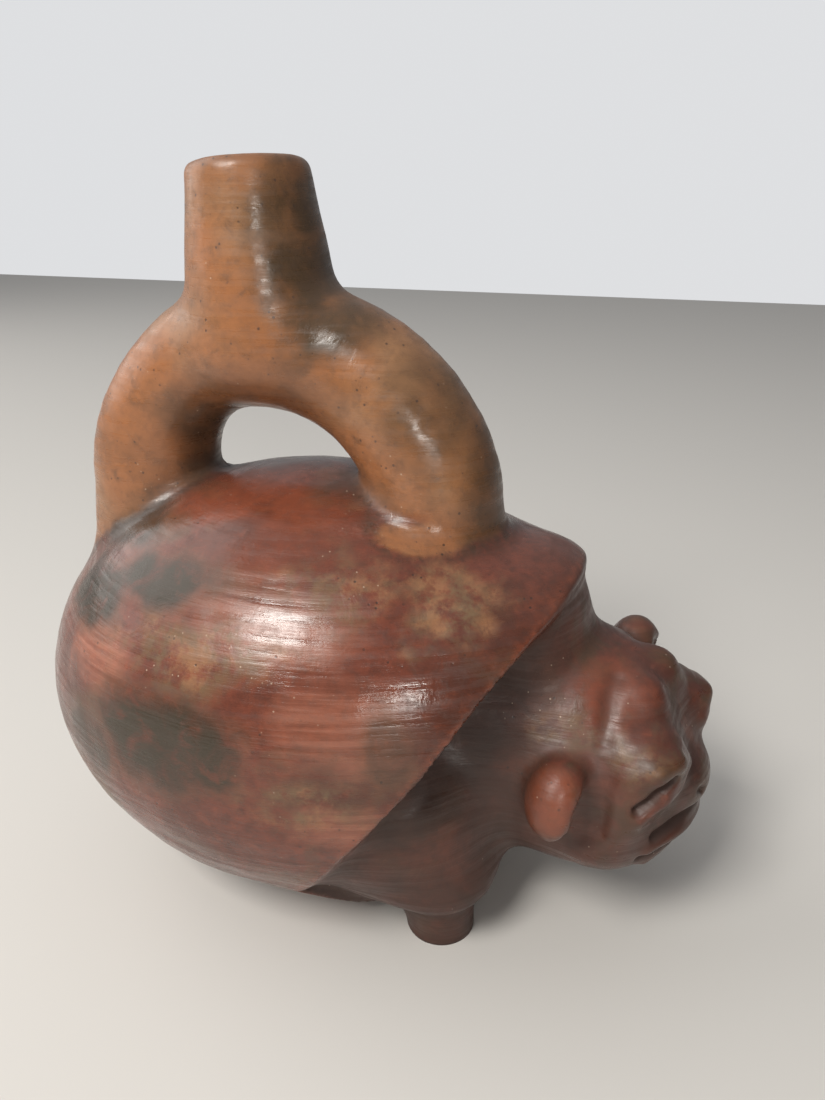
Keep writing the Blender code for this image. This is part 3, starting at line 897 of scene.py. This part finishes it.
# Smoke clouding and painted shade on the sides of the stirrup and spout that face the head.
bare = coat(bare, ARCH_BROWN, maths("MULTIPLY", attribute("arch_smoke_and_shade"), between(middle, 0.25, 0.6, 0.55, 1.0)))
grit = maths("MULTIPLY", between(grains(330.0), 0.08, 0.15, 0.8, 0.0), between(fine, 0.46, 0.56))
bare = coat(bare, GRIT_AND_CREASE_SHADE, grit)

skin_colour = coat(slip, bare, attribute("bare_clay"))
grimy = maths("MULTIPLY", attribute("joint_grime"), between(noise(160.0, 5.0, 0.7), 0.40, 0.60, 0.1, 0.75))
skin_colour = coat(skin_colour, CLOUD_GREY, grimy)
# Painted shade in the creases, slits and ear hollows.
skin_colour = coat(skin_colour, GRIT_AND_CREASE_SHADE, maths("MULTIPLY", attribute("crevice"), 0.75))
dots = maths("MULTIPLY", between(grains(GRAINS_PER_METRE), 0.08, 0.13, 1.0, 0.0), between(middle, 0.50, 0.62))
skin_colour = coat(skin_colour, SPECK, maths("MULTIPLY", dots, 0.75))
pale = maths("MULTIPLY", between(grains(390.0), 0.06, 0.11, 1.0, 0.0), between(noise(45.0), 0.54, 0.62))
skin_colour = coat(skin_colour, PALE_SPECK, maths("MULTIPLY", pale, 0.5))
skin_colour = coat(skin_colour, GRIT_AND_CREASE_SHADE, between(fine, 0.35, 0.75, 0.0, 0.22))
links.new(skin_colour, surface.inputs["Base Color"])

gloss = maths("ADD", between(stroke, 0.40, 0.62, 0.13, 0.33), between(fine, 0.4, 0.8, 0.0, 0.12))
gloss = maths("ADD", gloss, between(attribute("bare_clay"), 0.0, 1.0, 0.0, 0.07))
gloss = maths("ADD", gloss, maths("MULTIPLY", maths("MAXIMUM", attribute("worn"), attribute("crevice")), 0.18))
gloss = maths("ADD", gloss, maths("MULTIPLY", attribute("front"), 0.20))
gloss = maths("ADD", gloss, maths("MULTIPLY", attribute("face"), 0.12))
links.new(gloss, surface.inputs["Roughness"])
rubbed = between(attribute("bare_clay"), 0.0, 1.0, 1.0, 0.25)
surface.inputs["IOR"].default_value = 1.5
surface.inputs["Specular IOR Level"].default_value = 0.55

pits = between(grains(GRAINS_PER_METRE), 0.05, 0.16)
grooves = maths("MULTIPLY", maths("MULTIPLY", stroke, rubbed), 0.9)
pitting = maths("MULTIPLY", maths("MULTIPLY", pits, between(middle, 0.50, 0.62)), 0.12)
lifted = maths("ADD", maths("ADD", grooves, maths("MULTIPLY", fine, 0.16)), pitting)
relief = nodes.new("ShaderNodeBump")
relief.inputs["Strength"].default_value = 0.34
relief.inputs["Distance"].default_value = 0.0009
links.new(lifted, relief.inputs["Height"])
links.new(relief.outputs["Normal"], surface.inputs["Normal"])

clay.data.materials.clear()
clay.data.materials.append(burnished)
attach(clay, "root")
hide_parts("vessel")


# The pale table, the soft daylight from the left, two smaller lamps that give the highlights, the
# pale room behind, brighter on the side of the window, and the viewer's eye.

FLOOR_HALF = 1.5
PALE = (0.63, 0.61, 0.58)
ROOM_TINT = (0.94, 0.95, 0.97, 1.0)
ROOM_SHADE = (-0.6, 0.9, 0.01, 0.46)
ROOM_BRIGHT_SIDE = (-0.55, 0.30, 0.78)
ROOM_SEEN = 0.78
EYE = (0.0982, -0.2154, 0.2002)
EYE_TURN = (67.0, 0.0, 18.0)
EYE_LENS = 28.47
NEAREST_SEEN = 0.01
LIT_PLACE = (0.0, 0.0, 0.08)
LAMPS = (
    ("window", (-1.10, 0.00, 0.80), 1.30, 8.0, (1.0, 0.98, 0.95)),
    ("ceiling lamp", (-0.23, -0.66, 0.85), 0.36, 9.2, (1.0, 0.97, 0.92)),
    ("far lamp", (0.52, -0.84, 0.39), 0.13, 1.8, (1.0, 0.96, 0.90)),
)

leave_nothing_selected()
bpy.ops.mesh.primitive_plane_add(size=2 * FLOOR_HALF, location=(0.0, 0.0, 0.0))
floor = bpy.context.object
floor.name = "floor"
matt = bpy.data.materials.new("pale table")
matt.use_nodes = True
matt.node_tree.nodes["Principled BSDF"].inputs["Base Color"].default_value = (*PALE, 1.0)
matt.node_tree.nodes["Principled BSDF"].inputs["Roughness"].default_value = 0.9
floor.data.materials.append(matt)

for name, place, size, power, tint in LAMPS:
    bpy.ops.object.light_add(type="AREA", location=place)
    lamp = bpy.context.object
    lamp.name = name
    lamp.data.size = size
    lamp.data.energy = power
    lamp.data.color = tint
    towards = Vector(LIT_PLACE) - Vector(place)
    lamp.rotation_euler = towards.to_track_quat("-Z", "Y").to_euler()

room = bpy.data.worlds.new("pale room")
room.use_nodes = True
nodes = room.node_tree.nodes
links = room.node_tree.links
nodes["Background"].inputs["Color"].default_value = ROOM_TINT
direction = nodes.new("ShaderNodeTexCoord")
sideways = nodes.new("ShaderNodeVectorMath")
sideways.operation = "DOT_PRODUCT"
sideways.inputs[1].default_value = ROOM_BRIGHT_SIDE
links.new(direction.outputs["Generated"], sideways.inputs[0])
shade = nodes.new("ShaderNodeMapRange")
for socket, value in zip(("From Min", "From Max", "To Min", "To Max"), ROOM_SHADE):
    shade.inputs[socket].default_value = value
links.new(sideways.outputs["Value"], shade.inputs["Value"])
seen = nodes.new("ShaderNodeLightPath")
brightness = nodes.new("ShaderNodeMapRange")
brightness.inputs["To Max"].default_value = ROOM_SEEN
links.new(seen.outputs["Is Camera Ray"], brightness.inputs["Value"])
links.new(shade.outputs["Result"], brightness.inputs["To Min"])
links.new(brightness.outputs["Result"], nodes["Background"].inputs["Strength"])
bpy.context.scene.world = room
bpy.context.scene.view_settings.view_transform = "Standard"

bpy.ops.object.camera_add(location=EYE)
eye = bpy.context.object
eye.rotation_euler = Euler([math.radians(degrees) for degrees in EYE_TURN])
eye.data.lens = EYE_LENS
eye.data.clip_start = NEAREST_SEEN
bpy.context.scene.camera = eye
